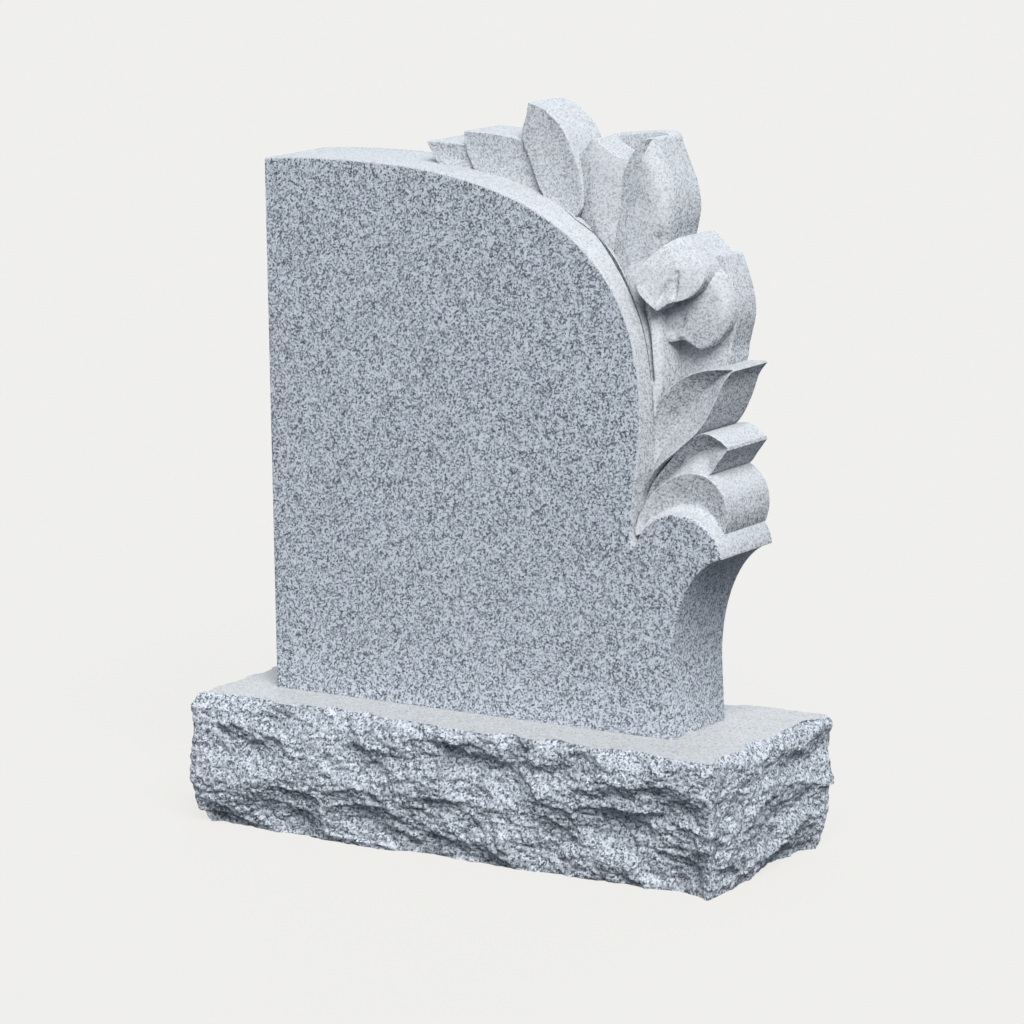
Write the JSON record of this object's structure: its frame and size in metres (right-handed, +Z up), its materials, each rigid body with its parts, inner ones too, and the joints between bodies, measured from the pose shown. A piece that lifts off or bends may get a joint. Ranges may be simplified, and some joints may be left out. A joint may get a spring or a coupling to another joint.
{
  "type": "granite headstone",
  "caption": "Upright granite memorial tablet with a leaf and flower spray carved down one falling shoulder, set on a rock-faced base.",
  "frame": {"origin": "middle of the flat underside of the base", "axes": "+Z up, -Y out of the carved front face, +X along the stone to the side with the spray"},
  "size_m": [0.9144, 0.3556, 1.1109],
  "materials": {
    "granite_base": "rock-faced sides, sawn top",
    "granite_tablet": "honed faces, frosted carving and edges"
  },
  "bodies": {
    "root": {"base": "granite_base", "tablet": "granite_tablet"}
  },
  "joints": []
}
